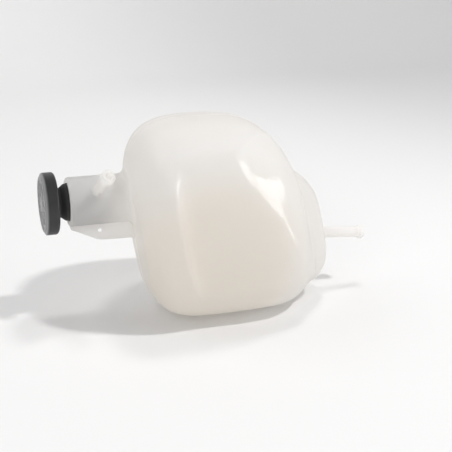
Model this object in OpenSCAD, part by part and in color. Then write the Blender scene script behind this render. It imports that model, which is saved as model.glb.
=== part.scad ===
/* [Tank body] */
// Length of the blown body along the neck axis, without the neck and the outlet nipple
body_l = 139; // [128:1:160]
// Depth of the body from front to back
body_d = 136; // [122:1:150]
// Height of the body above the surface that it rests on
body_h = 139; // [134:1:152]
// Wall thickness of the blown shell
wall = 2.5; // [1.8:0.1:3.5]
// Length of the tall main part, before the lower dome at the outlet end
main_l = 117; // [108:1:124]
// Length of the outlet dome, from its fullest section to its tip
dome_l = 62; // [54:1:70]
// Height of the top of the outlet dome
dome_top = 102; // [94:1:110]
// Height of the underside of the outlet dome
dome_bottom = 5.5; // [3:0.5:12]
// Depth of the outlet dome from front to back
dome_d = 101; // [92:1:112]
// Lean of the neck end: millimetres along the tank for each millimetre of height
neck_lean = 0.16; // [0.06:0.01:0.2]
// Lean of the outlet end, in the same measure
outlet_lean = 0.22; // [0.1:0.01:0.28]

/* [Front panel] */
// How far the flat front panel lies behind the rounded lobe at the neck end
panel_recess = 7.5; // [4:0.5:12]
// Width of the full lobe at the neck end, up to the step into the panel
lobe_w = 21; // [17:1:28]
// Length over which the lobe steps down to the panel
step_l = 10; // [7:0.5:14]
// Where the flat cheek past the panel begins, from the neck end, at the height of the neck
cheek_start = 84; // [78:1:92]
// How far the cheek slants back for each millimetre along the tank
cheek_slope = 0.76; // [0.5:0.02:1]
// How far the cheek slants back for each millimetre of height
cheek_tilt = 0.45; // [0.2:0.05:0.7]

/* [Filler neck] */
// Length of the neck from its lip to the body
neck_l = 42; // [38:1:50]
// Outer diameter of the neck
neck_od = 34; // [32:0.5:37]
// Diameter of the neck's bore
neck_bore = 27; // [25:0.5:28]
// Height of the neck axis above the resting surface
neck_h = 84; // [80:1:90]
// Radius of the fillet where the neck runs into the body
neck_fillet = 4; // [2:0.5:6]

/* [Pinch-off web under the neck] */
// Thickness of the web
web_t = 2.4; // [1.6:0.1:4]
// Depth of the web below the neck wall, beside the body
web_drop = 12.5; // [9:0.5:15]
// Depth of the web below the neck wall, at the lip
web_drop_lip = 3.2; // [2:0.2:5]
// Distance from the body to the web's lower corner
web_corner = 21; // [16:1:26]
// Diameter of the tether hole in the web
web_hole_d = 3.2; // [2.4:0.2:4]

/* [Hose nipples] */
// Outer diameter of both nipples, for a hose of the same bore
nipple_od = 8; // [7:0.5:9]
// Bore of both nipples
nipple_bore = 5; // [3.5:0.25:5.5]
// Diameter of the bead that holds the hose
bead_od = 10.4; // [9.6:0.2:12]
// Length of the bead, with its lead-in
bead_l = 4.6; // [3.6:0.2:6]
// Length of the outlet nipple outside the body
outlet_l = 35; // [28:0.5:42]
// Height of the outlet nipple where it leaves the body
outlet_h = 42.8; // [38:0.2:48]
// Droop of the outlet nipple, degrees
outlet_droop = 5; // [0:0.5:8]
// Length of the overflow nipple outside the neck
overflow_l = 24; // [20:0.5:32]
// Distance of the overflow nipple from the lip
overflow_from_lip = 16; // [13:0.5:20]
// Rise of the overflow nipple above the horizontal, degrees
overflow_rise = 38; // [32:1:46]
// Lean of the overflow nipple towards the body, degrees
overflow_lean = 11; // [4:1:14]

/* [Cap] */
// Diameter of the cap's head
cap_d = 43; // [40:0.5:48]
// Thickness of the cap's head
cap_t = 9; // [7:0.5:12]
// How far the cap stands out of the neck, from the lip to the underside of its head
cap_lift = 7.6; // [6:0.2:10]
// Height of the raised rim and ribs on the cap's face
cap_relief = 0.8; // [0.4:0.1:1.2]
// Number of raised ribs on the cap's face
cap_ribs = 12; // [8:1:16]
// Diameter of the spigot that carries the bung
spigot_d = 11; // [9:0.5:12]
// Length of the spigot below the head
spigot_l = 20; // [16:1:24]

/* [Bung] */
// Diameter of the bung's waist, between the head and the neck
waist_d = 20.6; // [19:0.2:22]
// Length of the bung inside the neck
bung_l = 27.5; // [24:0.5:30]
// Gap all round between the bung's sealing rings and the bore
seal_gap = 0.3; // [0.25:0.05:0.5]
// Depth of the sealing rings on the bung
seal_ring = 1.2; // [0.8:0.1:1.6]
// Depth of the hollow in the bung's inner end
bung_hollow = 10; // [6:0.5:12]

/* [Hidden] */
$fn = 64;

// How square each rounded form is: 2 is an ellipse, and higher values have tighter corners
neck_top_square = 2.85;
neck_low_square = 5.6;
neck_back_square = 2;
neck_front_square = 4;
outlet_top_square = 3.4;
outlet_low_square = 4.2;
outlet_plan_square = 2.9;
dome_square = 3.3;
dome_plan_square = 2.05;
// The same for the four quarters of the body's cross-section
roof_square = 2.2;
front_roof_square = 3.35;
floor_square = 2.35;
front_floor_square = 2.55;

// The floor of the body is cut flat, so that it stands on a land
floor_cut = 2.5;
// The closing faces at both ends of the body stay this far inside the full curve
neck_end_trim = 1;
outlet_end_trim = 0.25;
// Width of the rounded corners between the main part and the dome, and round the panel
blend = 4;
panel_edge = 5;
// Points round one section of the outer and of the inner skin
ring_points = 56;
inner_ring_points = 44;

// Overall length, and the shift that puts the origin under the middle of the whole tank
face_x = -neck_l - cap_lift - cap_t - cap_relief;
outlet_x = body_l + outlet_lean * (neck_h - outlet_h);
tip_edge = nipple_od / 2 - 0.4;
tip_x = outlet_x + outlet_l * cos(outlet_droop) + tip_edge * sin(outlet_droop);
centre_x = (face_x + tip_x) / 2;

main_half = main_l / 2 + neck_end_trim;
main_x = main_l / 2;
dome_x = body_l - dome_l;
main_mid = (body_h - floor_cut) / 2;
dome_mid = (dome_top + dome_bottom) / 2;
panel_y = body_d / 2 - panel_recess;
least_share = 0.05;

// Half width of a rounded end at u, where u runs from -1 to 1 between the two ends
function round_end(u, p) = pow(max(0, 1 - pow(min(1, abs(u)), p)), 1 / p);

// The larger of a and b, with the corner between them rounded over a width of k
function soft_max(a, b, k) =
    let (h = min(1, max(0, 0.5 + 0.5 * (a - b) / k)))
    b + (a - b) * h + k * h * (1 - h);

// Scale of the main part at x, with one squareness at the neck end and one at the outlet end
function main_scale(x, inset, neck_p, outlet_p) =
    let (u = (x - main_x) / (main_half - inset))
    round_end(u, u < 0 ? neck_p : outlet_p);

function dome_scale(x, inset, p) = round_end((x - dome_x) / (dome_l - inset), p);

// Roof and underside of the body at x, with the surface moved inwards by inset
function roof(x, inset) =
    let (m = (body_h - main_mid - inset) * main_scale(x, inset, neck_top_square, outlet_top_square),
         d = (dome_top - dome_mid - inset) * dome_scale(x, inset, dome_square))
    x < dome_x ? main_mid + m : soft_max(main_mid + m, dome_mid + d, blend);

function underside(x, inset) =
    let (m = (main_mid + floor_cut - inset) * main_scale(x, inset, neck_low_square, outlet_low_square),
         d = (dome_mid - dome_bottom - inset) * dome_scale(x, inset, dome_square))
    x < dome_x ? main_mid - m : -soft_max(m - main_mid, d - dome_mid, blend);

// Half depth of the body behind the parting plane, at x
function back_depth(x, inset) =
    let (m = (body_d / 2 - inset) * main_scale(x, inset, neck_back_square, outlet_plan_square),
         d = (dome_d / 2 - inset) * dome_scale(x, inset, dome_plan_square))
    x < dome_x ? m : soft_max(m, d, blend);

// The lobe at the neck end reaches the full depth where the step begins
lobe_reach = 1 / main_scale(lobe_w, 0, neck_front_square, outlet_plan_square);

// How far the cheek's plane lies in front of the parting plane, at x along the tank and height z
function cheek(x, z, inset) =
    panel_y - inset * norm([1, cheek_slope, cheek_tilt])
    - cheek_slope * (x - cheek_start) - cheek_tilt * (z - neck_h);

// Half depth of the front at x, where the section has the given share of it at height z.
// The cheek cuts the main part, and the dome stands out from the cut.
function front_depth(x, z, share, inset) =
    let (whole = (body_d / 2 - inset) * lobe_reach
             * main_scale(x, inset, neck_front_square, outlet_plan_square),
         cut = cheek(leaning(x, z), z, inset) / max(share, least_share),
         m = -soft_max(-whole, -cut, blend),
         d = (dome_d / 2 - inset) * lobe_reach * dome_scale(x, inset, dome_plan_square))
    x < dome_x ? m : soft_max(m, d, blend);

// Share of the front panel's recess at x: 0 on the lobe and 1 past the step
function step_share(x, inset) = 1 / (1 + exp(-(x - lobe_w + inset) / (step_l / 4)));

function front_limit(x, inset) =
    -(panel_y - inset + 2 * panel_recess * (1 - step_share(x, inset)));

// Squared-off sine and cosine, so that the section is a rounded square
function squared(v, n) = sign(v) * pow(abs(v), 2 / n);

// Squareness of the section's quarter that angle t lies in
function quarter_square(t) = cos(t) < 0
    ? (sin(t) > 0 ? front_roof_square : front_floor_square)
    : (sin(t) > 0 ? roof_square : floor_square);

// The ends lean: each point moves along the tank by a share of its height below the neck
function leaning(x, z) = x + (neck_lean + (outlet_lean - neck_lean) * x / body_l) * (neck_h - z);

// One point of the section at x, for angle t round it
function skin_point(x, t, inset) =
    let (n = quarter_square(t),
         top = roof(x, inset),
         bottom = underside(x, inset),
         side = squared(cos(t), n),
         z = (top + bottom) / 2 + (top - bottom) / 2 * squared(sin(t), n),
         y = side < 0
             ? soft_max(front_depth(x, z, -side, inset) * side, front_limit(x, inset), panel_edge)
             : back_depth(x, inset) * side)
    [leaning(x, z), y, z];

// Section places: close together at the rounded ends, at the step and where the roof drops to the dome
function stations(inset, n_neck, n_step, n_panel, n_shoulder, n_dome) =
    let (x0 = inset,
         s0 = lobe_w - step_l,
         s1 = lobe_w + step_l,
         m1 = main_x + main_half - inset,
         x1 = body_l - inset - outlet_end_trim)
    concat(
        [for (i = [0 : n_neck - 1]) x0 + (s0 - x0) * (1 - cos(90 * i / n_neck))],
        [for (i = [0 : n_step - 1]) s0 + (s1 - s0) * i / n_step],
        [for (i = [0 : n_panel - 1]) s1 + (dome_x - s1) * i / n_panel],
        [for (i = [0 : n_shoulder - 1]) dome_x + (m1 - dome_x) * sin(90 * i / n_shoulder)],
        [for (i = [0 : n_dome]) m1 + (x1 - m1) * sin(90 * i / n_dome)]);

// Solid inside the skin: rings of points joined by triangles and closed by a fan at each end
module skin_solid(inset, count, xs) {
    rings = len(xs);
    points = concat(
        [for (x = xs, k = [0 : count - 1]) skin_point(x, 360 * k / count, inset)],
        [for (x = [xs[0], xs[rings - 1]])
            let (z = (roof(x, inset) + underside(x, inset)) / 2) [leaning(x, z), 0, z]]);
    sides = [for (i = [0 : rings - 2], k = [0 : count - 1])
        let (a = i * count + k, b = i * count + (k + 1) % count)
        each [[a, a + count, b], [b, a + count, b + count]]];
    first_fan = [for (k = [0 : count - 1]) [rings * count, k, (k + 1) % count]];
    last = (rings - 1) * count;
    last_fan = [for (k = [0 : count - 1]) [rings * count + 1, last + (k + 1) % count, last + k]];
    polyhedron(points, concat(sides, first_fan, last_fan));
}

// The skin cut flat at its base
module standing_skin(inset, count, xs) {
    difference() {
        skin_solid(inset, count, xs);
        translate([-body_l, -body_d, inset - body_h])
            cube([3 * body_l, 2 * body_d, body_h]);
    }
}

// Turns a shape drawn along +Z so that it runs along +X from the point x on the neck axis
module along_neck(x) {
    translate([x, 0, neck_h]) rotate([0, 90, 0]) children();
}

// Outline of the neck: rounded lip and straight wall, as far as the inner skin of the body
module neck_outline() {
    lip = (neck_od - neck_bore) / 4;
    r = neck_od / 2;
    root = neck_l + 2 * wall;
    polygon(concat(
        [[0, lip]],
        [for (a = [180 : -15 : 0]) [r - lip + lip * cos(a), lip - lip * sin(a)]],
        [[r, root], [0, root]]));
}

// Fillet at the root of the neck, turned to the lean of the body's end
module neck_root() {
    r = neck_od / 2;
    f = neck_fillet;
    proud = 0.6;
    foot = r + f + 3;
    translate([0, 0, neck_h]) rotate([0, 90 - atan(neck_lean), 0])
        rotate_extrude()
            polygon(concat(
                [[0, -f - proud]],
                [for (a = [180 : 15 : 270]) [r + f + f * cos(a), -f - proud - f * sin(a)]],
                [[foot, wall], [foot, 2 * wall], [0, 2 * wall]]));
}

// Flat web in the parting plane, from the neck wall to the body
module web() {
    neck_r = neck_od / 2;
    low = neck_r + web_drop;
    low_lip = neck_r + web_drop_lip;
    lip_end = -neck_l + 1;
    inside = wall + neck_lean * low;
    corner_cut = 1.8;
    edge_fall = 0.6;
    hole_x = -web_corner + 1;
    hole_z = -neck_r - web_drop / 2 + edge_fall;
    difference() {
        translate([0, web_t / 2, neck_h]) rotate([90, 0, 0])
            linear_extrude(web_t)
                polygon([[lip_end, -neck_r + 2], [lip_end, -low_lip],
                         [-web_corner - corner_cut, -low + edge_fall], [-web_corner + corner_cut, -low],
                         [inside, -low - edge_fall], [inside, -neck_r + 2]]);
        translate([hole_x, web_t, neck_h + hole_z])
            rotate([90, 0, 0]) cylinder(d = web_hole_d, h = 2 * web_t);
    }
}

// Hose nipple along +Z from the surface that it leaves, with a bead at its tip
module nipple(length, root) {
    r = nipple_od / 2;
    bead = bead_od / 2;
    root_flare = 1.2;
    shoulder = length - bead_l;
    crown = 2.8;
    lead_in = 0.7;
    rotate_extrude()
        polygon([[0, -root], [r + root_flare, -root], [r + root_flare, root_flare / 2],
                 [r + root_flare / 3, root_flare], [r, 2 * root_flare],
                 [r, shoulder], [bead - 0.4, shoulder + 0.5], [bead, shoulder + 1.1],
                 [bead, shoulder + crown], [bead - 0.5, length - lead_in],
                 [tip_edge, length], [0, length]]);
}

module nipple_bore(length, root) {
    translate([0, 0, -root - 0.1]) cylinder(d = nipple_bore, h = length + root + 1);
}

module at_outlet() {
    translate([outlet_x, 0, outlet_h])
        rotate([0, 90 + outlet_droop, 0]) children();
}

module at_overflow() {
    translate([-neck_l + overflow_from_lip, 0, neck_h])
        rotate([90 - overflow_rise, 0, 0]) rotate([0, overflow_lean, 0])
            translate([0, 0, neck_od / 2]) children();
}

// One-piece blown shell: body, neck, web and both nipples, open right through
module tank_body() {
    outer = stations(0, 8, 9, 3, 8, 8);
    inner = stations(wall, 6, 6, 2, 6, 6);
    root = (neck_od - neck_bore) / 2 - 1;
    color("ivory")
    translate([-centre_x, 0, 0])
    difference() {
        union() {
            standing_skin(0, ring_points, outer);
            along_neck(-neck_l) rotate_extrude() neck_outline();
            neck_root();
            web();
            at_outlet() nipple(outlet_l, 3 * wall);
            at_overflow() nipple(overflow_l, root);
        }
        standing_skin(wall, inner_ring_points, inner);
        along_neck(-neck_l - 1) cylinder(d = neck_bore, h = neck_l + 4 * wall);
        at_outlet() nipple_bore(outlet_l, 4 * wall);
        at_overflow() nipple_bore(overflow_l, root + 4);
    }
}

// Raised rim, boss and ribs on the cap's face, in place of any marking
module cap_relief_rings() {
    rim = cap_d / 2 - 2;
    rim_w = 2.2;
    draft = 0.4;
    sunk = 0.5;
    boss_d = cap_d / 4;
    rib_w = 1.6;
    rotate_extrude()
        polygon([[rim - rim_w, -sunk], [rim - rim_w + draft, cap_relief],
                 [rim - draft, cap_relief], [rim, -sunk]]);
    cylinder(d = boss_d, h = cap_relief);
    for (i = [0 : cap_ribs - 1])
        rotate([0, 0, 360 * i / cap_ribs])
            translate([boss_d / 2 + 2.2, -rib_w / 2, -sunk])
                cube([cap_d / 6, rib_w, cap_relief + sunk]);
}

// Outline of the spigot, from the head (z = 0) to its barbed end, made larger all round by fit
module spigot_outline(fit) {
    r = spigot_d / 2 + fit;
    barb = 0.7;
    barb_l = 3;
    polygon([[0, -fit], [r, -fit], [r, spigot_l - barb_l - 1.6], [r + barb, spigot_l - barb_l - 1],
             [r + barb, spigot_l - barb_l], [r - 0.8, spigot_l + fit], [0, spigot_l + fit]]);
}

// Hard moulded head with the spigot that carries the bung
module cap_head() {
    r = cap_d / 2;
    face_r = 1.4;
    back_r = 2.2;
    color("dimgray")
    translate([-centre_x, 0, 0])
    along_neck(-neck_l - cap_lift) {
        rotate_extrude()
            polygon(concat(
                [[0, 0]],
                [for (a = [0 : 15 : 90]) [r - back_r + back_r * sin(a), -back_r + back_r * cos(a)]],
                [for (a = [0 : 15 : 90]) [r - face_r + face_r * cos(a), -cap_t + face_r - face_r * sin(a)]],
                [[0, -cap_t]]));
        rotate_extrude() spigot_outline(0);
        translate([0, 0, -cap_t]) mirror([0, 0, 1]) cap_relief_rings();
    }
}

// Outline of the bung: waist under the head, flared lip and a sealing ring, a second ring, plain end
module bung_outline() {
    seal = neck_bore / 2 - seal_gap;
    core = seal - seal_ring;
    waist = waist_d / 2;
    flare = cap_lift - 5;
    first_ring = cap_lift + 0.4;
    second_ring = first_ring + 10.2;
    end = cap_lift + bung_l;
    chamfer = 1.6;
    polygon(concat(
        [[0, 0], [waist + 1, 0], [waist, 1], [waist, flare], [seal - 0.6, first_ring - 1]],
        [for (ring = [first_ring, second_ring])
            each [[seal, ring], [seal, ring + seal_ring], [core, ring + 2 * seal_ring],
                  [core, ring == first_ring ? second_ring - seal_ring : end - 1.5 * chamfer]]],
        [[core - chamfer, end], [0, end]]));
}

// Rubber bung on the spigot, with a hollow inner end
module cap_bung() {
    fit = 0.05;
    end = cap_lift + bung_l;
    hollow_top = neck_bore - 8;
    hollow_floor = neck_bore - 11;
    color([0.13, 0.13, 0.14])
    translate([-centre_x, 0, 0])
    along_neck(-neck_l - cap_lift)
    difference() {
        rotate_extrude() bung_outline();
        rotate_extrude() spigot_outline(fit);
        translate([0, 0, end - bung_hollow]) cylinder(d1 = hollow_floor, d2 = hollow_top, h = bung_hollow + 0.1);
    }
}

tank_body();
cap_head();
cap_bung();
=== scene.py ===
# %% [markdown]
# # A coolant expansion tank, dressed for its picture
#
# The object is a blow-moulded plastic tank that lies on its side. A filler neck with a black push-in cap
# points left, a hose nipple points right. The CAD model, packed with its joints, comes in first as a fixed
# frame. Everything else in this notebook is a finer skin around that frame, in the same place and size,
# with materials, light and a camera.

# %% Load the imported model
import math

import bpy
import numpy as np
from mathutils import Matrix, Vector


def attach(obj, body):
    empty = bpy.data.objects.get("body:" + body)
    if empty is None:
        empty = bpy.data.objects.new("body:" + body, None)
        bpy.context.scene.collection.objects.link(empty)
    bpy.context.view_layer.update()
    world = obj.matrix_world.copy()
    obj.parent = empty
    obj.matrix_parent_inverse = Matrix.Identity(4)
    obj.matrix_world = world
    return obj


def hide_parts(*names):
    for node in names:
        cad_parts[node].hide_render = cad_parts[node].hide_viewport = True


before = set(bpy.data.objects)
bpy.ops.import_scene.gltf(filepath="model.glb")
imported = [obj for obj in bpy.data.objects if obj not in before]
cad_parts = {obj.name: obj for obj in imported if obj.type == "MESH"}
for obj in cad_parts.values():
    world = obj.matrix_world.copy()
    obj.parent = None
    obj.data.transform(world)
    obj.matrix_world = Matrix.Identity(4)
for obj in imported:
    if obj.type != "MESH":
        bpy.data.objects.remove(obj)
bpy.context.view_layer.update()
MM = 0.001

# %% [markdown]
# ## The sizes that the pieces share
#
# A finer skin can't drift away from the CAD if both are drawn from the same numbers, so the sizes below are
# the ones that the CAD source uses, in millimetres. The drawing's own zero is the plane where the neck
# meets the body. The shift `centre_x` puts the middle of the whole tank over the origin, as in the packed
# model.

# %% Sizes of the tank, in millimetres
body_l, body_d, body_h, wall = 139.0, 136.0, 139.0, 2.5
main_l, dome_l, dome_top, dome_bottom, dome_d = 117.0, 62.0, 102.0, 5.5, 101.0
neck_lean, outlet_lean = 0.16, 0.22
panel_recess, lobe_w, step_l = 7.5, 21.0, 10.0
cheek_start, cheek_slope, cheek_tilt = 84.0, 0.76, 0.45
neck_l, neck_od, neck_bore, neck_h = 42.0, 34.0, 27.0, 84.0
nipple_od, nipple_bore, bead_od, bead_l = 8.0, 5.0, 10.4, 4.6
outlet_l, outlet_h, outlet_droop = 35.0, 42.8, math.radians(5)
overflow_l, overflow_from_lip = 24.0, 16.0
overflow_rise, overflow_lean = math.radians(38), math.radians(11)
cap_d, cap_t, cap_lift, cap_relief, cap_ribs = 43.0, 9.0, 7.6, 0.8, 12

floor_cut, neck_end_trim, blend, panel_edge = 2.5, 1.0, 4.0, 5.0
# The cheek runs into the dome with a wider round than in the CAD source, so that its highlight isn't broken
cheek_blend, least_share = 4 * blend, 0.05
neck_top_square, neck_low_square, neck_back_square, neck_front_square = 2.85, 5.6, 2.0, 4.0
outlet_top_square, outlet_low_square, outlet_plan_square = 3.4, 4.2, 2.9
dome_square, dome_plan_square = 3.3, 2.05
roof_square, front_roof_square, floor_square, front_floor_square = 2.2, 3.35, 2.35, 2.55

face_x = -neck_l - cap_lift - cap_t - cap_relief
outlet_x = body_l + outlet_lean * (neck_h - outlet_h)
tip_x = outlet_x + outlet_l * math.cos(outlet_droop) + (nipple_od / 2 - 0.4) * math.sin(outlet_droop)
centre_x = (face_x + tip_x) / 2
main_mid, dome_mid = (body_h - floor_cut) / 2, (dome_top + dome_bottom) / 2
main_x, main_half = main_l / 2, main_l / 2 + neck_end_trim
dome_x = body_l - dome_l
panel_y = body_d / 2 - panel_recess
print("length over all, mm:", round(tip_x - face_x, 1))

# %% [markdown]
# ## The body as a function
#
# A blown tank has no flat sheet and no sharp edge, so it could be sculpted, built from a subdivided cage,
# or worked out by formula. A formula is chosen here: it is exact, it is the CAD's own, and it can be read
# at any point. Every section across the tank is a rounded square. Its height and depth follow curves that
# fall to nothing at both ends.

# %% Curves that shape the body
def round_end(u, p):
    """How wide a rounded end is at u, from 1 in the middle (u = 0) to 0 at the ends (u = -1 and 1): (1 -
    |u|^p)^(1/p)."""
    return np.maximum(0.0, 1 - np.minimum(1.0, np.abs(u)) ** p) ** (1 / p)


def soft_max(a, b, k):
    """The larger of a and b, with the corner between them rounded over a width of k."""
    h = np.clip(0.5 + 0.5 * (a - b) / k, 0, 1)
    return b + (a - b) * h + k * h * (1 - h)


def along_main(x, inset):
    """Place along the main part: -1 at its neck end and 1 at its outlet end."""
    return (x - main_x) / (main_half - inset)


def along_dome(x, inset):
    """Place along the outlet dome: 0 at its fullest section and 1 at its tip."""
    return (x - dome_x) / (dome_l - inset)


def by_end(u, neck_square, end_square):
    """A rounded end of the main part, with one squareness at the neck end and one at the outlet end."""
    return np.where(u < 0, round_end(u, neck_square), round_end(u, end_square))


def body_limits(x, inset):
    """Roof height, floor height and back half depth at x, with the skin moved inwards by inset."""
    u, v = along_main(x, inset), along_dome(x, inset)
    on_dome = v > 0
    up = (body_h - main_mid - inset) * by_end(u, neck_top_square, outlet_top_square)
    down = (main_mid + floor_cut - inset) * by_end(u, neck_low_square, outlet_low_square)
    dome_up = (dome_top - dome_mid - inset) * round_end(v, dome_square)
    dome_down = (dome_mid - dome_bottom - inset) * round_end(v, dome_square)
    roof = np.where(on_dome, soft_max(main_mid + up, dome_mid + dome_up, blend), main_mid + up)
    low = np.where(on_dome, -soft_max(down - main_mid, dome_down - dome_mid, blend), main_mid - down)
    back = (body_d / 2 - inset) * by_end(u, neck_back_square, outlet_plan_square)
    dome_back = (dome_d / 2 - inset) * round_end(v, dome_plan_square)
    return roof, low, np.where(on_dome, soft_max(back, dome_back, blend), back)


def lean(x, z):
    """The ends lean: each point moves along the tank by a share of its height below the neck, a
    different one at each end."""
    return x + (neck_lean + (outlet_lean - neck_lean) * x / body_l) * (neck_h - z)


lobe_reach = 1 / round_end(along_main(lobe_w, 0), neck_front_square)


def cheek(x, z, inset):
    """How far the cheek, a flat plane that slants back past the panel, lies in front of the parting
    plane at x and z."""
    slant = cheek_slope * (x - cheek_start) + cheek_tilt * (z - neck_h)
    return panel_y - inset * math.sqrt(1 + cheek_slope ** 2 + cheek_tilt ** 2) - slant


def front_depth(x, z, share, inset):
    """Front half depth at x, where the section has the given share of it at height z. The cheek cuts the
    main part, and the dome stands out from the cut."""
    u, v = along_main(x, inset), along_dome(x, inset)
    whole = (body_d / 2 - inset) * lobe_reach * by_end(u, neck_front_square, outlet_plan_square)
    main = -soft_max(-whole, -cheek(lean(x, z), z, inset) / np.maximum(share, least_share), blend)
    dome = (dome_d / 2 - inset) * lobe_reach * round_end(v, dome_plan_square)
    return np.where(v > 0, soft_max(main, dome, cheek_blend), main)


def squareness(above, in_front):
    """How square the section's corner is, in each of its four quarters: 2 is an ellipse, higher values
    are squarer."""
    return np.where(above, np.where(in_front, front_roof_square, roof_square),
                    np.where(in_front, front_floor_square, floor_square))


def front_stop(x, inset):
    """How far the skin may come forward at x: the full lobe at the neck end, then a smooth step back to
    the flat panel."""
    share = 1 / (1 + np.exp(-(x - lobe_w + inset) / (step_l / 4)))
    return -(panel_y - inset + 2 * panel_recess * (1 - share))


def section(x, angle, inset):
    """Points of the section at x. At each angle the reach of a rounded square is (|cos|^n +
    |sin|^n)^(-1/n)."""
    roof, low, back = body_limits(x, inset)
    c, s = np.cos(angle), np.sin(angle)
    n = squareness(s > 0, c < 0)
    reach = (np.abs(c) ** n + np.abs(s) ** n) ** (-1 / n)
    z = (roof + low) / 2 + (roof - low) / 2 * reach * s
    y = np.where(c < 0, front_depth(x, z, reach * np.abs(c), inset), back) * reach * c
    y = np.where(c < 0, soft_max(y, front_stop(x, inset), panel_edge), y)
    return y, z


HALVINGS = 40


def end_x(y, z, inset, near, far):
    """Where the skin of a rounded end lies at y and z: x is halved in on, from near (full section) to
    far (the end)."""
    y, z = np.broadcast_arrays(np.asarray(y, float), np.asarray(z, float))
    inner, outer = np.full(y.shape, float(near)), np.full(y.shape, float(far))
    for _ in range(HALVINGS):
        x = (inner + outer) / 2
        roof, low, back = body_limits(x, inset)
        mid, high = (roof + low) / 2, np.maximum((roof - low) / 2, 1e-6)
        n = squareness(z > mid, y < 0)
        depth = np.maximum(np.where(y < 0, front_depth(x, z, 1.0, inset), back), 1e-6)
        inside = np.abs(y / depth) ** n + np.abs((z - mid) / high) ** n < 1
        inner, outer = np.where(inside, x, inner), np.where(inside, outer, x)
    return (inner + outer) / 2


# %% [markdown]
# ## One continuous skin, from the lip to the nipple and back inside
#
# The neck, the body and the outlet nipple are one moulding, and the picture is made by light that passes
# through its wall. Pieces pushed into each other would show their hidden walls as dark rings. So the skin
# is one closed grid: rows start at the neck's lip, run over the neck, the body and the nipple to its tip,
# turn round, and come back inside at wall thickness. Columns go round the tank. Two of them lie on the
# mould's parting line, top and bottom.

# %% Angles round the tank
COLUMNS = 240
FLASH_HALF, FLASH_TURN = 0.5, 0.026
around = (np.arange(COLUMNS) + 0.5) * 2 * math.pi / COLUMNS
quarter, three_quarters = COLUMNS // 4, 3 * COLUMNS // 4
around = np.insert(around, [quarter, three_quarters], [math.pi / 2, 3 * math.pi / 2])
top_column, bottom_column = quarter, three_quarters + 1


def ring_angles(half_width):
    """Angles of one row of columns for each half width given, with the columns beside the parting line
    drawn close to it."""
    angles = np.repeat(around[None, :], len(half_width), axis=0)
    near = np.minimum(FLASH_HALF / half_width, FLASH_TURN)
    for column in (top_column, bottom_column):
        angles[:, column - 1] = angles[:, column] - near
        angles[:, column + 1] = angles[:, column] + near
    return angles


def rows(x, y, z):
    """Stacks the coordinates of some rows into one array of points."""
    return np.stack(np.broadcast_arrays(x, y, z), axis=-1)


def bend(a, corner, b, count):
    """Rows of a fillet that leaves a and reaches b, pulled towards a corner: a quadratic curve in each
    column."""
    t = (np.arange(1, count + 1) / count)[:, None, None]
    return (1 - t) ** 2 * a + 2 * t * (1 - t) * corner + t ** 2 * b


# %% Rows of the neck, inside and outside
def neck_rows(profile):
    """A profile of (x, radius) pairs turned round the neck's axis."""
    x, r = np.array(profile, float).T
    angle = ring_angles(r)
    return rows(x[:, None], r[:, None] * np.cos(angle), neck_h + r[:, None] * np.sin(angle))


def end_ring(r, inset, near, far, centre_z):
    """A ring of radius r that lies on the rounded end of the body, seen from that end."""
    angle = ring_angles(np.array([r]))[0]
    y, z = r * np.cos(angle), centre_z + r * np.sin(angle)
    return rows(lean(end_x(y, z, inset, near, far), z), y, z)


def end_rows(ring, station, inset, far, count):
    """Rows over a rounded end, from a ring on it out to the full section at a station: straight mixes of
    the two, laid on the skin."""
    half = body_limits(np.array([station]), inset)[2]
    section_y, section_z = section(station, ring_angles(half)[0], inset)
    share = np.sin(np.linspace(0, math.pi / 2, count + 1)[1:])[:, None]
    y = (1 - share) * ring[:, 1] + share * section_y
    z = (1 - share) * ring[:, 2] + share * section_z
    return rows(lean(end_x(y, z, inset, station, far), z), y, z)


def body_rows(x, inset):
    """Full sections at the given stations."""
    half = body_limits(x, inset)[2]
    y, z = section(x[:, None], ring_angles(half), inset)
    return rows(lean(x[:, None], z), y, z)


NECK_FILLET, INNER_FILLET = 5.0, 1.2
WALL_ROWS = 14
neck_station, outlet_station = 11.0, 130.0


def neck_end(r, fillet, inset, start, count):
    """Neck wall from start, the fillet at its root and the rounded end of the body, up to the first full
    section."""
    foot = end_ring(r, inset, neck_station, inset, neck_h)
    spread = end_ring(r + fillet, inset, neck_station, inset, neck_h)
    x = np.linspace(start, foot[:, 0].min() - fillet, WALL_ROWS)
    wall_rows = neck_rows([(v, r) for v in x])
    top_of_wall = wall_rows[-1].copy()
    top_of_wall[:, 0] = foot[:, 0] - fillet
    share = np.linspace(0, 1, WALL_ROWS)[:, None]
    wall_rows[:, :, 0] = (1 - share) * start + share * top_of_wall[:, 0]
    fillet_rows = bend(top_of_wall, foot, spread, 8)
    return np.concatenate([wall_rows, fillet_rows, end_rows(spread, neck_station, inset, inset, count)])


# %% Rows of the outlet nipple
outlet_axis = np.array([math.cos(outlet_droop), 0, -math.sin(outlet_droop)])
outlet_up = np.array([math.sin(outlet_droop), 0, math.cos(outlet_droop)])
outlet_root = np.array([outlet_x, 0, outlet_h])


def outlet_rows(profile):
    """A profile of (distance along the nipple, radius) pairs turned round the nipple's drooping axis."""
    d, r = np.array(profile, float).T
    angle = ring_angles(r)
    side = r[:, None] * np.cos(angle)
    up = r[:, None] * np.sin(angle)
    points = outlet_root + d[:, None, None] * outlet_axis + up[..., None] * outlet_up
    points[..., 1] += side
    return points


def arc(centre_d, centre_r, radius, start, end, count):
    """Points (distance, radius) of an arc in a profile, in degrees: 0 points along the axis and 90 away
    from it."""
    t = np.radians(np.linspace(start, end, count))
    return list(zip(centre_d + radius * np.cos(t), centre_r + radius * np.sin(t)))


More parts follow.
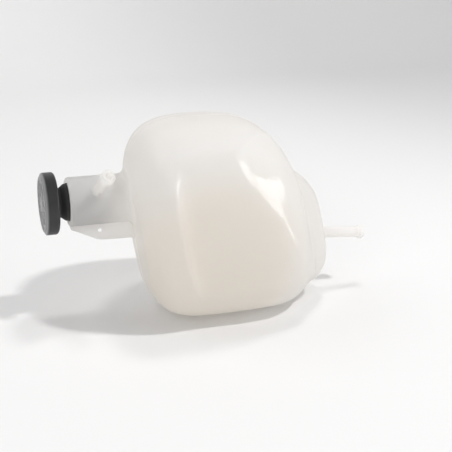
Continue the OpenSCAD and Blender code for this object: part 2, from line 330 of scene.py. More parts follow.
def hose_end(length, r, bore):
    """Profile of a hose nipple's tip: shoulder, rounded bead, tapered lead-in, rounded mouth and the
    start of the bore."""
    bead, top = bead_od / 2, length
    return ([(top - bead_l - 0.9, r), (top - bead_l - 0.3, r + 0.05), (top - bead_l + 0.1, r + 0.45)]
            + arc(top - bead_l + 1.1, bead - 0.8, 0.8, 160, 90, 6)
            + [(top - 2.6, bead), (top - 2.0, bead - 0.04), (top - 1.2, bead - 0.4)]
            + arc(top - 0.5, r - 0.15, 0.5, 50, 0, 4)
            + arc(top - 0.35, bore + 0.45, 0.45, 10, -80, 5)
            + [(top - 1.2, bore), (top - 3, bore)])


def outlet_end(r, fillet, inset, count):
    """Rounded end of the body from its last full section to the nipple, and the fillet at the nipple's
    root."""
    foot = end_ring(r, inset, outlet_station, body_l - inset, outlet_h)
    spread = end_ring(r + fillet, inset, outlet_station, body_l - inset, outlet_h)
    start = outlet_rows([(fillet, r)])[0]
    start[:, 0] = foot[:, 0] + fillet
    out = end_rows(spread, outlet_station, inset, body_l - inset, count)[::-1]
    return np.concatenate([out[1:], spread[None], bend(start, foot, spread, 7)[::-1][1:], start[None]])


# %% Put the rows together
def spread_stations(start, stop, marks, count):
    """A count of stations from start to stop, closer together where a mark says so: (place, width,
    weight) each."""
    x = np.linspace(start, stop, 4000)
    density = 1 + sum(weight * np.exp(-((x - place) / width) ** 2) for place, width, weight in marks)
    total = np.cumsum(density)
    return np.interp(np.linspace(total[0], total[-1], count), total, x)


OUTER_STATIONS, INNER_STATIONS = 92, 42
outer_marks = [(lobe_w, 9, 2.0), (neck_station, 8, 1.2), (main_l, 9, 2.0), (outlet_station, 12, 1.2)]
inner_marks = [(lobe_w, 9, 1.0), (main_l, 9, 1.0)]
outer_stations = spread_stations(neck_station, outlet_station, outer_marks, OUTER_STATIONS)
inner_stations = spread_stations(neck_station, outlet_station, inner_marks, INNER_STATIONS)
lip_r = (neck_od - neck_bore) / 4
bore_r, tube_r, hose_r = neck_bore / 2, neck_od / 2, nipple_od / 2
lip_rows = neck_rows([(-neck_l + lip_r - lip_r * math.sin(t), tube_r - lip_r - lip_r * math.cos(t))
                      for t in np.linspace(0, math.pi, 13)])
outer_skin = np.concatenate([
    lip_rows[:-1],
    neck_end(tube_r, NECK_FILLET, 0.0, -neck_l + lip_r, 24),
    body_rows(outer_stations[1:-1], 0.0),
    outlet_end(hose_r, 2.2, 0.0, 20),
    outlet_rows([(d, hose_r) for d in np.linspace(4, outlet_l - bead_l - 2, 7)]
                + hose_end(outlet_l, hose_r, nipple_bore / 2)),
])
inner_skin = np.concatenate([
    neck_end(bore_r, INNER_FILLET, wall, -neck_l + lip_r + 0.5, 14),
    body_rows(inner_stations[1:-1], wall),
    outlet_end(nipple_bore / 2, 0.8, wall, 12),
    outlet_rows([(d, nipple_bore / 2) for d in np.linspace(2, outlet_l - 4, 5)]),
])[::-1]
skin = np.concatenate([outer_skin, inner_skin])
print("skin grid:", skin.shape, "outer rows:", len(outer_skin))

# %% [markdown]
# ## Small forms on the skin
#
# A blown wall is never perfectly even. It cools with slow waves of a few tenths of a millimetre, and a fine
# raised line is left where the two mould halves met. Both could be painted on with a bump map, but then
# they would be missing in the mesh. Here each point moves along its own normal by a height that is worked
# out for the whole grid at once.

# %% Heights of the waves, the parting line and the base
def grid_normals(points):
    """Outward unit normals of a closed grid: the cross product of the steps along a row and from row to
    row."""
    along = np.roll(points, -1, axis=1) - np.roll(points, 1, axis=1)
    across = np.roll(points, -1, axis=0) - np.roll(points, 1, axis=0)
    normal = np.cross(along, across)
    return normal / np.maximum(np.linalg.norm(normal, axis=-1, keepdims=True), 1e-9)


def waves(points, rng, count, shortest, longest):
    """Slow unevenness: a sum of sines that run in random directions, each with its own length and phase."""
    total = np.zeros(points.shape[:-1])
    for _ in range(count):
        direction = rng.normal(size=3)
        direction /= np.linalg.norm(direction)
        length = rng.uniform(shortest, longest)
        total += np.sin(points @ direction * 2 * math.pi / length + rng.uniform(0, 2 * math.pi))
    return total / math.sqrt(count)


WAVE_HEIGHT, WAVE_COUNT, SHORTEST_WAVE, LONGEST_WAVE, WAVE_FADE = 0.16, 14, 28, 80, 12
FLASH_HEIGHT, FLASH_FADE, FLOOR_ROUND = 0.28, 3, 0.8
rng = np.random.default_rng(7)
normals = grid_normals(skin)
skin_x = skin[..., 0]
on_outside = np.zeros(skin.shape[:2])
on_outside[: len(outer_skin)] = 1
past_neck = np.clip((skin_x - 2) / WAVE_FADE, 0, 1)
before_outlet = np.clip((outlet_station + WAVE_FADE - skin_x) / WAVE_FADE, 0, 1)
height = WAVE_HEIGHT * waves(skin, rng, WAVE_COUNT, SHORTEST_WAVE, LONGEST_WAVE)
height *= past_neck * before_outlet * on_outside
flash = np.zeros(skin.shape[:2])
flash[:, [top_column, bottom_column]] = FLASH_HEIGHT
past_lip = np.clip((skin_x + neck_l - FLASH_FADE) / FLASH_FADE, 0, 1)
height += flash * on_outside * past_lip * (skin_x < outlet_x + 1)
skin = skin + normals * height[..., None]
skin[..., 2] = soft_max(skin[..., 2], np.where(on_outside > 0, 0.0, wall), FLOOR_ROUND)
skin[..., 2] = np.maximum(skin[..., 2], 0.0)


# %% Meshes from grids
def to_world(points):
    """Points of the drawing, in millimetres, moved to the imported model's place and turned into metres."""
    return (points - np.array([centre_x, 0, 0])) * MM


def grid_faces(n_rows, n_columns, closed_rows):
    """Four-cornered faces of a grid whose columns go all the way round, and whose rows may too."""
    i = np.arange(n_rows if closed_rows else n_rows - 1)[:, None]
    j = np.arange(n_columns)[None, :]
    i2, j2 = (i + 1) % n_rows, (j + 1) % n_columns
    corners = [i * n_columns + j, i * n_columns + j2, i2 * n_columns + j2, i2 * n_columns + j]
    return np.stack(corners, axis=-1).reshape(-1, 4)


def new_piece(name, mesh, sharp=None):
    """An object that shows a finished mesh, smooth, with edges above an angle in degrees kept sharp."""
    mesh.validate()
    mesh.shade_smooth()
    if sharp:
        mesh.set_sharp_from_angle(angle=math.radians(sharp))
    piece = bpy.data.objects.new(name, mesh)
    bpy.context.scene.collection.objects.link(piece)
    return piece


def mesh_piece(name, points, faces, sharp=None):
    """A piece from arrays of points, in metres, and four-cornered faces."""
    mesh = bpy.data.meshes.new(name)
    mesh.vertices.add(len(points))
    mesh.vertices.foreach_set("co", np.ascontiguousarray(points, np.float32).ravel())
    mesh.loops.add(faces.size)
    mesh.loops.foreach_set("vertex_index", np.ascontiguousarray(faces, np.int32).ravel())
    mesh.polygons.add(len(faces))
    mesh.polygons.foreach_set("loop_start", np.arange(0, faces.size, 4, dtype=np.int32))
    mesh.update(calc_edges=True)
    return new_piece(name, mesh, sharp)


def closed_grid(name, points, sharp=None):
    """A piece from a grid that closes on itself both ways, like a ring."""
    return mesh_piece(name, to_world(points).reshape(-1, 3), grid_faces(*points.shape[:2], True), sharp)


def capped_grid(name, points, sharp=None):
    """A piece from a grid whose columns go round, with a pole that closes each end."""
    n, m = points.shape[:2]
    flat = np.concatenate([points.reshape(-1, 3), points[0].mean(0)[None], points[-1].mean(0)[None]])
    piece_faces = grid_faces(n, m, False)
    mesh = bpy.data.meshes.new(name)
    k = np.arange(m)
    first = np.stack([np.full(m, n * m), (k + 1) % m, k], axis=-1)
    last = np.stack([np.full(m, n * m + 1), (n - 1) * m + k, (n - 1) * m + (k + 1) % m], axis=-1)
    mesh.from_pydata(to_world(flat).tolist(), [], piece_faces.tolist() + first.tolist() + last.tolist())
    return new_piece(name, mesh, sharp)


def volume(piece):
    """Volume that a closed mesh holds, in cubic centimetres. It is below nought where the faces point
    inwards."""
    mesh = piece.data
    mesh.calc_loop_triangles()
    points = np.empty(len(mesh.vertices) * 3)
    mesh.vertices.foreach_get("co", points)
    triangles = np.empty(len(mesh.loop_triangles) * 3, np.int32)
    mesh.loop_triangles.foreach_get("vertices", triangles)
    a, b, c = points.reshape(-1, 3)[triangles.reshape(-1, 3)].transpose(1, 0, 2)
    return float(np.einsum("ij,ij->", a, np.cross(b, c)) / 6 * 1e6)


def face_outwards(piece):
    """Turns the faces of a closed piece over where they point inwards."""
    if volume(piece) < 0:
        piece.data.flip_normals()


tank = closed_grid("tank_shell", skin)
print("tank_shell:", len(tank.data.polygons), "faces,", round(volume(tank), 1), "cm3 of plastic")

# %% [markdown]
# ## The overflow nipple and the pinch-off web
#
# The overflow nipple stands on the neck and leans towards the camera. Under the neck, the mould pinched the
# plastic into a thin flat web with a small hole for a tether. Both are part of the moulding, so they are
# made as closed solids and joined to the skin with a Boolean, and their bores are cut the same way.

# %% Overflow nipple
overflow_axis = np.array([math.sin(overflow_lean), -math.cos(overflow_lean) * math.cos(overflow_rise),
                          math.cos(overflow_lean) * math.sin(overflow_rise)])
overflow_root = np.array([-neck_l + overflow_from_lip, 0, neck_h])
overflow_side = np.cross([0, 0, 1.0], overflow_axis)
overflow_side /= np.linalg.norm(overflow_side)
overflow_top = np.cross(overflow_axis, overflow_side)
STEM_COLUMNS = 72
stem_angle = np.arange(STEM_COLUMNS) * 2 * math.pi / STEM_COLUMNS
stem_out = np.cos(stem_angle)[:, None] * overflow_side + np.sin(stem_angle)[:, None] * overflow_top


def on_neck(radius, depth=0.0):
    """A ring round the nipple's axis that lies on the neck's wall, or below it by depth. Each point is
    slid along the axis to the wall, which takes the root of a quadratic equation."""
    q = radius * stem_out
    wall_r = tube_r - depth
    a = overflow_axis[1] ** 2 + overflow_axis[2] ** 2
    b = 2 * (q[:, 1] * overflow_axis[1] + q[:, 2] * overflow_axis[2])
    c = q[:, 1] ** 2 + q[:, 2] ** 2 - wall_r ** 2
    t = (-b + np.sqrt(b * b - 4 * a * c)) / (2 * a)
    return overflow_root + q + t[:, None] * overflow_axis


def stem_rows(profile):
    """A profile of (distance from the neck's wall, radius) pairs turned round the overflow nipple's
    axis."""
    d, r = np.array(profile, float).T
    return overflow_root + (tube_r + d)[:, None, None] * overflow_axis + r[:, None, None] * stem_out


STEM_FILLET = 1.6
stem_foot = on_neck(hose_r)
stem = np.concatenate([
    on_neck(hose_r + STEM_FILLET, 1.0)[None],
    on_neck(hose_r + STEM_FILLET, 0.03)[None],
    bend(on_neck(hose_r + STEM_FILLET, 0.03), stem_foot, stem_foot + STEM_FILLET * overflow_axis, 6),
    stem_rows([(d, hose_r) for d in np.linspace(2.4, overflow_l - bead_l - 2, 6)]
              + hose_end(overflow_l, hose_r, nipple_bore / 2)),
    on_neck(nipple_bore / 2, 1.0)[None],
])
overflow = closed_grid("overflow_part", stem)
overflow_bore = capped_grid("overflow_bore", stem_rows([(d, nipple_bore / 2) for d in (-6.0, 8.0, 20.0)]))
print("overflow nipple:", round(volume(overflow), 2), "cm3, bore", round(volume(overflow_bore), 2))

# %% Pinch-off web with its tether hole
WEB_T, WEB_BEAD, BEAD_FROM, BEAD_RAMP = 2.4, 0.35, 0.88, 0.06
EDGE_FROM, EDGE_SHARE = 0.9, 0.1
HOLE_X, HOLE_DROP, hole_r = -20.0, 5.45, 1.6
web_low = [(-neck_l + 1.2, tube_r + 1.0), (-neck_l + 2.0, tube_r + 3.4), (-neck_l + 5, tube_r + 4.6),
           (-24.5, tube_r + 10.6), (-22.0, tube_r + 11.9), (-18.5, tube_r + 12.5), (-10, tube_r + 12.8),
           (2.4, tube_r + 13.1)]
web_x, web_depth = np.array(web_low).T
x_along = np.concatenate([np.linspace(web_x[0], web_x[2], 8), np.linspace(web_x[2], web_x[-1], 40)[1:]])
low_edge = neck_h - np.interp(x_along, web_x, web_depth)
high_edge = np.full_like(x_along, neck_h - tube_r + 1.5)
half_t = WEB_T / 2
round_t = np.linspace(-math.pi / 2, math.pi / 2, 9)
across = np.concatenate([[-half_t, -half_t, -half_t], half_t * np.sin(round_t), [half_t, half_t, half_t]])
down = np.concatenate([[0, 0.5, EDGE_FROM], EDGE_FROM + EDGE_SHARE * np.cos(round_t), [EDGE_FROM, 0.5, 0]])
swell = 1 + WEB_BEAD * np.clip((down - BEAD_FROM) / BEAD_RAMP, 0, 1)
edge_drop = np.where(down > EDGE_FROM, (down - EDGE_FROM) / EDGE_SHARE * half_t, 0)
flat_share = np.minimum(down, EDGE_FROM)[None, :] / EDGE_FROM
web_z = high_edge[:, None] + (low_edge + half_t - high_edge)[:, None] * flat_share - edge_drop
root_share = np.clip((x_along + 10) / 10, 0, 1)[:, None]
web_lean = neck_lean * (high_edge[:, None] - web_z) * root_share
web = rows(x_along[:, None] + web_lean, (across * swell)[None, :], web_z)[:, ::-1]
web_piece = capped_grid("web_part", web)
hole_angle = np.arange(40) * 2 * math.pi / 40
hole_x = HOLE_X + hole_r * np.cos(hole_angle)
hole_z = neck_h - tube_r - HOLE_DROP + hole_r * np.sin(hole_angle)
hole = np.stack([rows(hole_x, side, hole_z) for side in (-3.0, 3.0)])
hole_piece = capped_grid("tether_cut", hole)
print("web:", round(volume(web_piece), 2), "cm3, hole", round(volume(hole_piece), 2))


# %% Join the parts of the moulding
def combine(piece, other, operation):
    """Joins another closed solid to a piece, or cuts it out, and removes the other one."""
    face_outwards(other)
    step = piece.modifiers.new(operation.lower(), "BOOLEAN")
    step.operation, step.object, step.solver = operation, other, "MANIFOLD"
    evaluated = piece.evaluated_get(bpy.context.evaluated_depsgraph_get())
    finished = bpy.data.meshes.new_from_object(evaluated)
    piece.modifiers.clear()
    old, piece.data = piece.data, finished
    bpy.data.meshes.remove(old)
    bpy.data.objects.remove(other)


face_outwards(tank)
for part, operation in ((web_piece, "UNION"), (overflow, "UNION"),
                        (overflow_bore, "DIFFERENCE"), (hole_piece, "DIFFERENCE")):
    combine(tank, part, operation)
    print(operation.lower(), "->", len(tank.data.polygons), "faces,", round(volume(tank), 1), "cm3")
SHARP_EDGE = 38
tank.data.name = "tank_shell"
tank.data.shade_smooth()
tank.data.set_sharp_from_angle(angle=math.radians(SHARP_EDGE))
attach(tank, "tank")
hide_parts("tank_body")


# %% [markdown]
# ## The cap: a hard disc on a rubber bung
#
# A turned part could come from a Screw modifier, but a grid with one row for each point of the profile
# keeps the rows where the relief needs them. The disc's face has a raised rim, a boss and short ribs. They
# are a height that is added to the face, with edges that are ramps of a quarter of a millimetre, as a
# moulded part has.

# %% Turn a profile round the neck's axis
def turned(profile, columns):
    """A profile of (x, radius) pairs turned round the neck's axis, x in the drawing's frame."""
    x, r = np.array(profile, float).T
    angle = np.arange(columns) * 2 * math.pi / columns
    return rows(x[:, None], r[:, None] * np.cos(angle), neck_h + r[:, None] * np.sin(angle))


def ramp(value, low, high, soft=0.25):
    """1 between low and high, 0 outside, with straight ramps of a given width inside both edges."""
    return np.clip((value - low) / soft, 0, 1) * np.clip((high - value) / soft, 0, 1)


# %% Cap head
head_r, head_back = cap_d / 2, -neck_l - cap_lift
head_face = head_back - cap_t
CAP_COLUMNS = 288
face_r = np.concatenate([np.linspace(0.3, head_r - 4.6, 46), np.linspace(head_r - 4.5, head_r - 1.6, 30)])
front_round, back_round = 1.4, 2.2
quarter_turn = np.linspace(0, math.pi / 2, 10)
front_x, front_r = head_face + front_round, head_r - front_round
front_edge = [(front_x - front_round * math.cos(t), front_r + front_round * math.sin(t))
              for t in quarter_turn]
side = [(head_face + v, head_r) for v in (2.4, 4.0, 5.6)]
back_x, back_r = head_back - back_round, head_r - back_round
back_edge = [(back_x + back_round * math.sin(t), back_r + back_round * math.cos(t))
             for t in quarter_turn]
back = [(head_back, v) for v in (17.0, 14.5, 12.2)]
spigot = [(head_back, 5.6), (head_back + 1, 5.5), (head_back + 15.4, 5.5), (head_back + 16, 6.2),
          (head_back + 17, 6.2), (head_back + 20, 4.7)]
head = turned([(head_face, v) for v in face_r] + front_edge + side + back_edge + back + spigot, CAP_COLUMNS)
angle = np.arange(CAP_COLUMNS) * 2 * math.pi / CAP_COLUMNS
face_radius = face_r[:, None]
boss_r, rib_gap, rib_reach, rib_half = cap_d / 8, 2.2, cap_d * 0.17, 0.9
rib_angle = (angle[None, :] / (2 * math.pi) * cap_ribs + 0.5) % 1 - 0.5
rib_offset = np.sin(rib_angle * 2 * math.pi / cap_ribs) * face_radius
rim = ramp(face_radius, head_r - 4.2, head_r - 2.0, 0.5)
boss = ramp(face_radius, -1, boss_r, 0.4)
rib_length = ramp(face_radius, boss_r + rib_gap, boss_r + rib_gap + rib_reach, 0.4)
ribs = rib_length * ramp(rib_offset, -rib_half, rib_half, 0.35)
relief = np.maximum(np.maximum(rim, boss), ribs)
head[: len(face_r), :, 0] -= cap_relief * relief
cap_head = capped_grid("cap_disc", head, 40)
face_outwards(cap_head)
print("cap disc:", len(cap_head.data.polygons), "faces,", round(volume(cap_head), 1), "cm3")
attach(cap_head, "cap")
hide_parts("cap_head")


# %% Rubber bung
def smooth_profile(points, per_span):
    """A curve through profile points, rounded by Catmull's cubic between each pair."""
    p = np.array(points, float)
    p = np.concatenate([[2 * p[0] - p[1]], p, [2 * p[-1] - p[-2]]])
    t = np.arange(per_span)[:, None] / per_span
    spans = []
    for i in range(1, len(p) - 2):
        square = (2 * p[i - 1] - 5 * p[i] + 4 * p[i + 1] - p[i + 2]) * t ** 2
        cube = (3 * p[i] - p[i - 1] - 3 * p[i + 1] + p[i + 2]) * t ** 3
        spans.append(0.5 * (2 * p[i] + (p[i + 1] - p[i - 1]) * t + square + cube))
    return [tuple(v) for v in np.concatenate(spans + [p[-2:-1]])]


seal, core, waist = neck_bore / 2 - 0.3, neck_bore / 2 - 1.5, 10.3
lip, bung_end = cap_lift - 1.6, cap_lift + 27.5
waist_points = [(0, waist + 1.2), (0.5, waist + 0.5), (1.1, waist), (2.6, waist), (4.0, waist + 1.0),
                (lip - 0.2, waist + 2.3)]
first_seal = [(lip + 1.0, seal - 0.5), (lip + 1.7, seal - 0.05), (lip + 2.6, seal), (lip + 3.3, seal - 0.2),
              (lip + 4.4, core), (lip + 7, core), (lip + 10.6, core)]
second_seal = [(lip + 12, seal - 0.1), (lip + 12.7, seal), (lip + 13.4, seal - 0.1), (lip + 14.8, core),
               (lip + 19, core)]
end_points = [(bung_end - 2.4, core), (bung_end - 0.7, core - 0.5), (bung_end - 0.1, core - 1.7),
              (bung_end, core - 2.6)]
bung_line = smooth_profile(waist_points + first_seal + second_seal + end_points, 4)
hollow = [(bung_end - 0.6, core - 3.2), (bung_end - 10, core - 4.2), (bung_end - 10.2, 3)]
bung_points = turned([(head_back + x, r) for x, r in bung_line + hollow], 160)
bung = capped_grid("cap_bung_rubber", bung_points, 50)
face_outwards(bung)
print("bung:", len(bung.data.polygons), "faces,", round(volume(bung), 1), "cm3")
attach(bung, "cap")
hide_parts("cap_bung")


# %% [markdown]
# ## Materials
#
# All three finishes are moulded, handled surfaces, so they share one effect: a fine grain, slow clouds of
# colour and gloss, and a painted shade and sheen that fades out with the distance from one point. It is a
# node group with named inputs, built once, and each material sets its own values. On the tank the painted
# shade and sheen is a warm painted shade low on its front. On the cap it is a painted sheen, a lighter grey
# for the light that the flat face catches. Its point is a metre off along the axis, so that it takes in the
# flat face and leaves the side black. The rubber has none.
#
# The tank's wall lets light through. A volume of scattering plastic would be closer to the real wall, but
# it is slow and noisy. A translucent share, mixed with the glossy surface, gives the same glow from the
# light behind the wall.

# %% The shared moulded-surface group
def link(tree, a, b):
    """Joins an output a to an input b."""
    tree.links.new(a, b)


def add_node(tree, kind, values=None, **attributes):
    """Adds a shader node, sets its attributes, and fills inputs by name or number."""
    node = tree.nodes.new(kind)
    for name, value in attributes.items():
        setattr(node, name, value)
    for name, value in (values or {}).items():
        node.inputs[name].default_value = value
    return node


surface = bpy.data.node_groups.new("moulded_surface", "ShaderNodeTree")
surface_inputs = (
    ("Base", "NodeSocketColor", (0.8, 0.8, 0.8, 1)), ("Cloud", "NodeSocketColor", (0.7, 0.7, 0.7, 1)),
    ("Cloud Size", "NodeSocketFloat", 30.0), ("Grain Size", "NodeSocketFloat", 1500.0),
    ("Roughness", "NodeSocketFloat", 0.4), ("Roughness Range", "NodeSocketFloat", 0.1),
    ("Grain Depth", "NodeSocketFloat", 1.0), ("Wave Depth", "NodeSocketFloat", 0.3),
    ("Stain", "NodeSocketColor", (1, 1, 1, 1)), ("Stain Centre", "NodeSocketVector", (0, 0, 0)),
    ("Stain From", "NodeSocketFloat", 0.001), ("Stain To", "NodeSocketFloat", 0.0),
    ("Stain Wander", "NodeSocketFloat", 0.0))
for name, kind, default in surface_inputs:
    surface.interface.new_socket(name, in_out="INPUT", socket_type=kind).default_value = default
surface_outputs = (
    ("Color", "NodeSocketColor"), ("Roughness", "NodeSocketFloat"), ("Height", "NodeSocketFloat"))
for name, kind in surface_outputs:
    surface.interface.new_socket(name, in_out="OUTPUT", socket_type=kind)
g_in, g_out = surface.nodes.new("NodeGroupInput"), surface.nodes.new("NodeGroupOutput")
where = add_node(surface, "ShaderNodeTexCoord")
cloud = add_node(surface, "ShaderNodeTexNoise", {"Detail": 4.0, "Roughness": 0.55})
link(surface, where.outputs["Object"], cloud.inputs["Vector"])
link(surface, g_in.outputs["Cloud Size"], cloud.inputs["Scale"])
grain = add_node(surface, "ShaderNodeTexNoise", {"Detail": 3.0, "Roughness": 0.6})
link(surface, where.outputs["Object"], grain.inputs["Vector"])
link(surface, g_in.outputs["Grain Size"], grain.inputs["Scale"])
cloud_mask = add_node(surface, "ShaderNodeMapRange", {"From Min": 0.2, "From Max": 0.8})
link(surface, cloud.outputs["Fac"], cloud_mask.inputs["Value"])
colour = add_node(surface, "ShaderNodeMix", data_type="RGBA")
link(surface, cloud_mask.outputs["Result"], colour.inputs[0])
link(surface, g_in.outputs["Base"], colour.inputs[6])
link(surface, g_in.outputs["Cloud"], colour.inputs[7])
# This colour, mixed in near one point, is painted light: a painted shade on the tank and a painted sheen on
# the cap.
from_centre = add_node(surface, "ShaderNodeVectorMath", operation="DISTANCE")
link(surface, where.outputs["Object"], from_centre.inputs[0])
link(surface, g_in.outputs["Stain Centre"], from_centre.inputs[1])
uneven = add_node(surface, "ShaderNodeMath", operation="MULTIPLY_ADD")
link(surface, cloud.outputs["Fac"], uneven.inputs[0])
link(surface, g_in.outputs["Stain Wander"], uneven.inputs[1])
link(surface, from_centre.outputs["Value"], uneven.inputs[2])
shade_and_sheen_mask = add_node(surface, "ShaderNodeMapRange", interpolation_type="SMOOTHSTEP")
link(surface, uneven.outputs[0], shade_and_sheen_mask.inputs["Value"])
link(surface, g_in.outputs["Stain From"], shade_and_sheen_mask.inputs["From Min"])
link(surface, g_in.outputs["Stain To"], shade_and_sheen_mask.inputs["From Max"])
shade_and_sheen_mix = add_node(surface, "ShaderNodeMix", data_type="RGBA")
link(surface, shade_and_sheen_mask.outputs["Result"], shade_and_sheen_mix.inputs[0])
link(surface, colour.outputs[2], shade_and_sheen_mix.inputs[6])
link(surface, g_in.outputs["Stain"], shade_and_sheen_mix.inputs[7])
link(surface, shade_and_sheen_mix.outputs[2], g_out.inputs["Color"])
off_middle = add_node(surface, "ShaderNodeMath", {1: 0.5}, operation="SUBTRACT")
link(surface, cloud.outputs["Fac"], off_middle.inputs[0])
spread = add_node(surface, "ShaderNodeMath", operation="MULTIPLY_ADD")
link(surface, off_middle.outputs[0], spread.inputs[0])
link(surface, g_in.outputs["Roughness Range"], spread.inputs[1])
link(surface, g_in.outputs["Roughness"], spread.inputs[2])
link(surface, spread.outputs[0], g_out.inputs["Roughness"])
grain_height = add_node(surface, "ShaderNodeMath", operation="MULTIPLY")
link(surface, grain.outputs["Fac"], grain_height.inputs[0])
link(surface, g_in.outputs["Grain Depth"], grain_height.inputs[1])
wave_height = add_node(surface, "ShaderNodeMath", operation="MULTIPLY_ADD")
link(surface, cloud.outputs["Fac"], wave_height.inputs[0])
link(surface, g_in.outputs["Wave Depth"], wave_height.inputs[1])
link(surface, grain_height.outputs[0], wave_height.inputs[2])
link(surface, wave_height.outputs[0], g_out.inputs["Height"])


def moulded_material(name, values, bump, through=None, **constants):
    """A Principled material that takes colour, roughness and bump from the shared group, and plain
    constants on its own sockets. Where through gives a share and a colour, that share of the light
    goes through the wall and is scattered."""
    material = bpy.data.materials.new(name)
    material.use_nodes = True
    tree = material.node_tree
    shader = tree.nodes["Principled BSDF"]
    group = add_node(tree, "ShaderNodeGroup", node_tree=surface)
    for key, value in values.items():
        group.inputs[key].default_value = value
    relief_node = add_node(tree, "ShaderNodeBump", {"Strength": bump, "Distance": 0.0004})
    link(tree, group.outputs["Color"], shader.inputs["Base Color"])
    link(tree, group.outputs["Roughness"], shader.inputs["Roughness"])
    link(tree, group.outputs["Height"], relief_node.inputs["Height"])
    link(tree, relief_node.outputs["Normal"], shader.inputs["Normal"])
    for key, value in constants.items():
        shader.inputs[key.replace("_", " ").title().replace("Ior", "IOR")].default_value = value
    if through:
        share, tint = through
        scatter = add_node(tree, "ShaderNodeBsdfTranslucent", {"Color": tint})
        mix = add_node(tree, "ShaderNodeMixShader", {"Fac": share})
        link(tree, shader.outputs["BSDF"], mix.inputs[1])
        link(tree, scatter.outputs["BSDF"], mix.inputs[2])
        link(tree, mix.outputs["Shader"], tree.nodes["Material Output"].inputs["Surface"])
    return material


# %% Natural plastic, black plastic and rubber
# The warm, darker tint low on the tank's front is painted shade.
tank_plastic = moulded_material(
    "natural_polyethylene",
    {"Base": (0.97, 0.97, 0.97, 1), "Cloud": (0.95, 0.948, 0.94, 1), "Cloud Size": 14.0, "Grain Size": 900.0,
     "Roughness": 0.08, "Roughness Range": 0.03, "Grain Depth": 0.15, "Wave Depth": 0.5,
     "Stain": (0.87, 0.81, 0.72, 1), "Stain Centre": (-0.015, -0.06, 0.045),
     "Stain From": 0.095, "Stain To": 0.045, "Stain Wander": 0.02},
    0.12, through=(0.68, (0.985, 0.974, 0.958, 1)), ior=1.5)
# The lighter grey on the cap's flat face is a painted sheen for the light that the face catches.
cap_plastic = moulded_material(
    "black_cap_plastic",
    {"Base": (0.02, 0.02, 0.021, 1), "Cloud": (0.03, 0.03, 0.031, 1),
     "Cloud Size": 60.0, "Grain Size": 2500.0,
     "Roughness": 0.38, "Roughness Range": 0.16, "Grain Depth": 0.8, "Wave Depth": 0.3,
     "Stain": (0.30, 0.30, 0.30, 1), "Stain Centre": (-1, 0, 0.084),
     "Stain From": 0.8815, "Stain To": 0.8795},
    0.35, ior=1.5)
bung_rubber = moulded_material(
    "black_rubber",
    {"Base": (0.016, 0.016, 0.017, 1), "Cloud": (0.03, 0.03, 0.03, 1),
     "Cloud Size": 90.0, "Grain Size": 2200.0,
     "Roughness": 0.62, "Roughness Range": 0.2, "Grain Depth": 0.9, "Wave Depth": 0.4},
    0.5, ior=1.5)
for piece, material in ((tank, tank_plastic), (cap_head, cap_plastic), (bung, bung_rubber)):
    piece.data.materials.clear()
    piece.data.materials.append(material)

# %% [markdown]
# ## The floor
#
# The tank lies on pale paper that turns up behind it, so that no edge shows in the picture. A plane and a
# far wall would do as well from one side, but their joint would show from others. The paper is painted a
# little darker to the right, a painted shade for the light that falls off there, and that tone is fixed to
# its place on the sheet.

# %% Pale floor that turns up into a backdrop
def sweep_points():
    """A sheet that runs flat towards the back and turns up in a wide arc: straight, quarter circle,
    straight."""
    front, turn, radius, high, half_width = -1.6, 0.9, 0.5, 1.2, 2.2
    t = np.linspace(0, math.pi / 2, 24)
    y = np.concatenate([[front, turn], turn + radius * np.sin(t)[1:], [turn + radius]])
    z = np.concatenate([[0, 0], radius - radius * np.cos(t)[1:], [radius + high]])
    x = np.linspace(-half_width, half_width, 5)
    return rows(x[:, None], y[None], z[None])


sheet = sweep_points()
sheet_rows, sheet_columns = sheet.shape[:2]
first_corner = np.arange(sheet_rows - 1)[:, None] * sheet_columns + np.arange(sheet_columns - 1)[None, :]
corner_steps = np.array([0, sheet_columns, sheet_columns + 1, 1])
sheet_faces = (first_corner[..., None] + corner_steps).reshape(-1, 4)
backdrop = mesh_piece("paper_sweep", sheet.reshape(-1, 3), sheet_faces)
paper = bpy.data.materials.new("white_paper")
paper.use_nodes = True
tree = paper.node_tree
paper_shader = tree.nodes["Principled BSDF"]
paper_place = add_node(tree, "ShaderNodeTexCoord")
# The darker tone towards the right of the paper is painted shade for light that falls off there.
paper_along = add_node(tree, "ShaderNodeVectorMath", {1: (1, 0.3, 0)}, operation="DOT_PRODUCT")
link(tree, paper_place.outputs["Object"], paper_along.inputs[0])
paper_painted_falloff = add_node(tree, "ShaderNodeMapRange", {"From Min": 0.25, "From Max": 0.85},
                      interpolation_type="SMOOTHSTEP")
link(tree, paper_along.outputs["Value"], paper_painted_falloff.inputs["Value"])
paper_colour = add_node(tree, "ShaderNodeMix", {6: (0.825, 0.82, 0.815, 1), 7: (0.66, 0.655, 0.655, 1)},
                        data_type="RGBA")
link(tree, paper_painted_falloff.outputs["Result"], paper_colour.inputs[0])
link(tree, paper_colour.outputs[2], paper_shader.inputs["Base Color"])
paper_shader.inputs["Roughness"].default_value = 0.9
backdrop.data.materials.append(paper)

# %% [markdown]
# ## The light
#
# In the photo the shadow runs back to the left and has a fairly clear edge, so a small, strong lamp stands
# high in front on the right, with a softer one behind it. A small lamp leaves a hard spark on a glossy
# wall, so neither of the two is seen in reflections. Three large, weak lamps and an even world fill the
# shadows. The bright patch on the slanting cheek is a window that is mirrored there. That lamp is seen in
# reflections alone, because its light on the floor would wash out the shadow.

# %% Lights
def softbox(name, place, aim, size, power):
    """A rectangular lamp of a width and height, at place, in metres, turned so that it looks at aim."""
    lamp = bpy.data.lights.new(name, "AREA")
    lamp.shape, (lamp.size, lamp.size_y) = "RECTANGLE", size
    lamp.energy = power
    light = bpy.data.objects.new(name, lamp)
    bpy.context.scene.collection.objects.link(light)
    light.location = place
    light.rotation_mode = "QUATERNION"
    light.rotation_quaternion = (Vector(aim) - Vector(place)).to_track_quat("-Z", "Y")
    return light


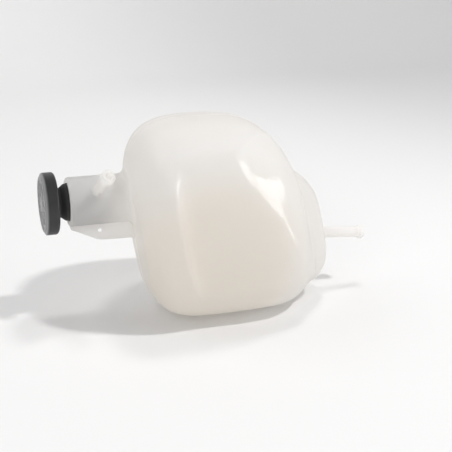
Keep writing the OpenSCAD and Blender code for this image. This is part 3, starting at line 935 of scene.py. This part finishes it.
key_light = softbox("lamp_front_right", (1.09, -0.73, 1.92), (0, 0, 0.05), (0.15, 0.15), 23)
back_light = softbox("lamp_back_right", (0.36, 0.38, 1.92), (0, 0, 0.05), (0.32, 0.32), 7.5)
for lamp in (key_light, back_light):
    lamp.visible_glossy = False
softbox("fill_front", (-0.9, -1.3, 0.8), (0, 0, 0.07), (1.0, 1.0), 6.5)
softbox("fill_left", (-1.0, 0.5, 1.3), (-0.1, 0.3, 0.05), (1.0, 1.0), 4.8)
softbox("fill_right", (1.4, -0.5, 0.4), (0, 0, 0.07), (0.8, 0.8), 4.0)
window = softbox("window_right", (1.045, -0.685, 0.187), (0.025, -0.053, 0.09), (0.684, 0.23), 5.8)
window.visible_diffuse = False
window.visible_transmission = False
world = bpy.data.worlds.new("room")
bpy.context.scene.world = world
world.use_nodes = True
world.node_tree.nodes["Background"].inputs["Color"].default_value = (0.98, 0.98, 1.0, 1)
world.node_tree.nodes["Background"].inputs["Strength"].default_value = 0.35

# %% [markdown]
# ## The camera
#
# The cap's ellipse, the run of the neck's edges and the outline of the tank fix where the photo was taken
# from: 18 degrees to the left of square on, 18 degrees up and 0.73 m away, with a field of view of about 25
# degrees. The camera is placed by those angles and aims at a point inside the body.

# %% Camera
def look(azimuth, elevation, distance, target, lens):
    """A camera at a distance from the target, turned by azimuth round it and raised by elevation, in
    degrees."""
    a, e = math.radians(azimuth), math.radians(elevation)
    back = Vector((math.sin(a) * math.cos(e), -math.cos(a) * math.cos(e), math.sin(e)))
    right = Vector((math.cos(a), math.sin(a), 0))
    up = back.cross(right)
    data = bpy.data.cameras.new("photo_camera")
    data.lens, data.sensor_width = lens, SENSOR_WIDTH
    camera = bpy.data.objects.new("photo_camera", data)
    bpy.context.scene.collection.objects.link(camera)
    place = Vector(target) + back * distance
    camera.matrix_world = Matrix((
        (right.x, up.x, back.x, place.x),
        (right.y, up.y, back.y, place.y),
        (right.z, up.z, back.z, place.z),
        (0, 0, 0, 1)))
    return camera


SENSOR_WIDTH, LENS = 36, 79.65
TO_THE_SIDE, UP, AWAY = -18, 18, 0.730
AIM_ALONG, AIM_HEIGHT = 73.0, 55.2
aim = ((AIM_ALONG - centre_x) * MM, 0, AIM_HEIGHT * MM)
bpy.context.scene.camera = look(TO_THE_SIDE, UP, AWAY, aim, LENS)
bpy.context.scene.view_settings.view_transform = "Standard"
